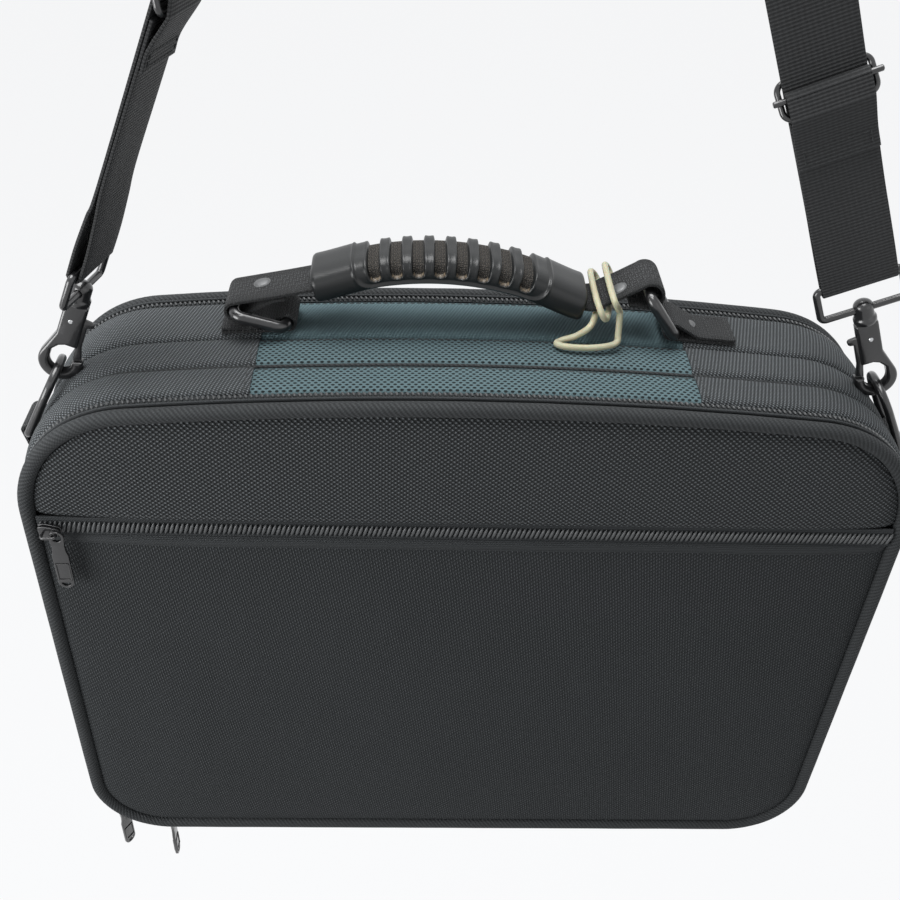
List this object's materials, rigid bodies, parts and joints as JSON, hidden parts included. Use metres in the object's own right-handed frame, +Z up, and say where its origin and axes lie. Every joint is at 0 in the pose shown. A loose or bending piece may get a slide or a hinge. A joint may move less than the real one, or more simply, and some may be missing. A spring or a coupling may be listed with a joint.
{
  "type": "laptop briefcase",
  "caption": "Soft-sided laptop briefcase with a slotted moulded top handle on pivoting rings, zipped flaps and a clip-on webbing shoulder strap it hangs by.",
  "frame": {"origin": "the point at the top of the shoulder strap where the bag hangs, in the middle of the webbing", "axes": "+X to the right seen from the front, +Y from the front panel to the rear panel, +Z up"},
  "size_m": [0.4224, 0.1122, 0.7403],
  "materials": {
    "ballistic_nylon": "matt ballistic weave",
    "teal_mesh": "open spacer mesh",
    "twill_piping": "twill",
    "lining_cloth": "plain cloth",
    "nylon_coil": "moulded nylon teeth",
    "black_webbing": "woven webbing",
    "moulded_rubber": "satin",
    "black_metal": "black enamel",
    "bright_steel": "bright",
    "tag_plastic": "translucent cream"
  },
  "bodies": {
    "strap": {"shoulder_strap": "black_webbing", "left_wire_loop": "black_metal", "right_wire_loop": "black_metal", "left_swivel_head": "black_metal", "right_swivel_head": "black_metal"},
    "left_hook": {"left_hook_body": "black_metal", "left_hook_pin": "bright_steel", "left_hook_spring": "bright_steel"},
    "left_trigger": {"left_hook_trigger": "black_metal"},
    "right_hook": {"right_hook_body": "black_metal", "right_hook_pin": "bright_steel", "right_hook_spring": "bright_steel"},
    "right_trigger": {"right_hook_trigger": "black_metal"},
    "left_adjuster": {"left_adjuster_frame": "black_metal", "left_adjuster_bar": "black_metal", "left_strap_tail": "black_webbing"},
    "right_adjuster": {"right_adjuster_frame": "black_metal", "right_adjuster_bar": "black_metal", "right_strap_tail": "black_webbing"},
    "bag": {"front_gusset": "ballistic_nylon", "front_mesh_panel": "teal_mesh", "middle_gusset": "ballistic_nylon", "middle_mesh_panel": "teal_mesh", "rear_gusset": "ballistic_nylon", "rear_mesh_panel": "teal_mesh", "divider_piping": "twill_piping", "divider_panel": "lining_cloth", "front_zip_coil": "nylon_coil", "rear_zip_coil": "nylon_coil", "left_side_ring": "black_metal", "left_side_tab": "black_webbing", "right_side_ring": "black_metal", "right_side_tab": "black_webbing", "left_handle_tab": "black_webbing", "right_handle_tab": "black_webbing"},
    "front_flap": {"front_upper_panel": "ballistic_nylon", "front_pocket_panel": "ballistic_nylon", "front_piping": "twill_piping", "front_flap_tape": "twill_piping", "front_pocket_lining": "lining_cloth", "front_pocket_zip": "nylon_coil"},
    "rear_flap": {"rear_panel": "ballistic_nylon", "rear_piping": "twill_piping", "rear_flap_tape": "twill_piping"},
    "pocket_slider": {"pocket_zip_slider": "black_metal"},
    "pocket_pull": {"pocket_zip_pull": "black_metal"},
    "front_slider_a": {"front_zip_slider_a": "black_metal"},
    "front_pull_a": {"front_zip_pull_a": "black_metal"},
    "front_slider_b": {"front_zip_slider_b": "black_metal"},
    "front_pull_b": {"front_zip_pull_b": "black_metal"},
    "rear_slider": {"rear_zip_slider": "black_metal"},
    "rear_pull": {"rear_zip_pull": "black_metal"},
    "left_ring": {"left_handle_ring": "moulded_rubber"},
    "handle": {"handle_webbing": "black_webbing", "handle_grip": "moulded_rubber", "tag_loop": "tag_plastic"},
    "right_ring": {"right_handle_ring": "moulded_rubber"}
  },
  "joints": [
    {"name": "bag_swing", "type": "hinge", "parent": "strap", "child": "bag", "pos_m": [0, 0, -0.40327], "axis": [1, 0, 0], "range_deg": [-15, 15]},
    {"name": "left_swivel", "type": "hinge", "parent": "strap", "child": "left_hook", "pos_m": [-0.18884, 0, -0.40327], "axis": [0.3863, 0, 0.9224], "range_deg": [-8, 8]},
    {"name": "left_trigger_hinge", "type": "hinge", "parent": "left_hook", "child": "left_trigger", "pos_m": [-0.17945, 0, -0.37956], "axis": [0, 1, 0], "range_deg": [0, 14], "stiffness_Nm_per_rad": 0.02, "springref_deg": -22.92},
    {"name": "left_adjuster_slide", "type": "slide", "parent": "strap", "child": "left_adjuster", "axis": [0.3863, 0, 0.9224], "range_m": [0, 0.03]},
    {"name": "right_swivel", "type": "hinge", "parent": "strap", "child": "right_hook", "pos_m": [0.18884, 0, -0.40327], "axis": [-0.3863, 0, 0.9224], "range_deg": [-8, 8]},
    {"name": "right_trigger_hinge", "type": "hinge", "parent": "right_hook", "child": "right_trigger", "pos_m": [0.17945, 0, -0.37956], "axis": [0, -1, 0], "range_deg": [0, 14], "stiffness_Nm_per_rad": 0.02, "springref_deg": -22.92},
    {"name": "right_adjuster_slide", "type": "slide", "parent": "strap", "child": "right_adjuster", "axis": [-0.3863, 0, 0.9224], "range_m": [0, 0.03]},
    {"name": "front_flap_hinge", "type": "hinge", "parent": "bag", "child": "front_flap", "pos_m": [0, -0.03795, -0.6997], "axis": [1, 0, 0], "range_deg": [0, 40]},
    {"name": "rear_flap_hinge", "type": "hinge", "parent": "bag", "child": "rear_flap", "pos_m": [0, 0.04645, -0.6997], "axis": [-1, 0, 0], "range_deg": [0, 60]},
    {"name": "pocket_zip_slide", "type": "slide", "parent": "front_flap", "child": "pocket_slider", "axis": [1, 0, 0], "range_m": [0, 0.37]},
    {"name": "pocket_pull_swing", "type": "hinge", "parent": "pocket_slider", "child": "pocket_pull", "pos_m": [-0.1879, -0.05215, -0.4615], "axis": [0, 1, 0], "range_deg": [-40, 40]},
    {"name": "front_zip_slide_a", "type": "hinge", "parent": "bag", "child": "front_slider_a", "pos_m": [-0.163, -0.03595, -0.658], "axis": [0, 1, 0], "range_deg": [0, 46]},
    {"name": "front_pull_swing_a", "type": "hinge", "parent": "front_slider_a", "child": "front_pull_a", "pos_m": [-0.19362, -0.03595, -0.69535], "axis": [1, 0, 0], "range_deg": [-15, 15]},
    {"name": "front_zip_slide_b", "type": "hinge", "parent": "bag", "child": "front_slider_b", "pos_m": [-0.163, -0.03595, -0.658], "axis": [0, 1, 0], "range_deg": [0, 10]},
    {"name": "front_pull_swing_b", "type": "hinge", "parent": "front_slider_b", "child": "front_pull_b", "pos_m": [-0.16619, -0.03595, -0.70673], "axis": [1, 0, 0], "range_deg": [-25, 25]},
    {"name": "rear_zip_slide", "type": "slide", "parent": "bag", "child": "rear_slider", "axis": [0, 0, 1], "range_m": [-0.045, 0.135]},
    {"name": "rear_pull_swing", "type": "hinge", "parent": "rear_slider", "child": "rear_pull", "pos_m": [0.2094, 0.04445, -0.6031], "axis": [1, 0, 0], "range_deg": [-50, 50]},
    {"name": "left_ring_hinge", "type": "hinge", "parent": "bag", "child": "left_ring", "pos_m": [-0.0865, 0.02315, -0.38742], "axis": [0, 1, 0], "range_deg": [0, 60]},
    {"name": "handle_hinge", "type": "hinge", "parent": "left_ring", "child": "handle", "pos_m": [-0.10968, 0.02315, -0.38121], "axis": [0, 1, 0], "range_deg": [-60, 0]},
    {"name": "right_ring_hinge", "type": "hinge", "parent": "bag", "child": "right_ring", "pos_m": [0.093, 0.02315, -0.3878], "axis": [0, 1, 0], "range_deg": [0, 45]}
  ],
  "couplings": [
    {"joint": "handle_hinge", "follows": "left_ring_hinge", "ratio": -0.931},
    {"joint": "right_ring_hinge", "follows": "left_ring_hinge", "ratio": 0.69}
  ]
}
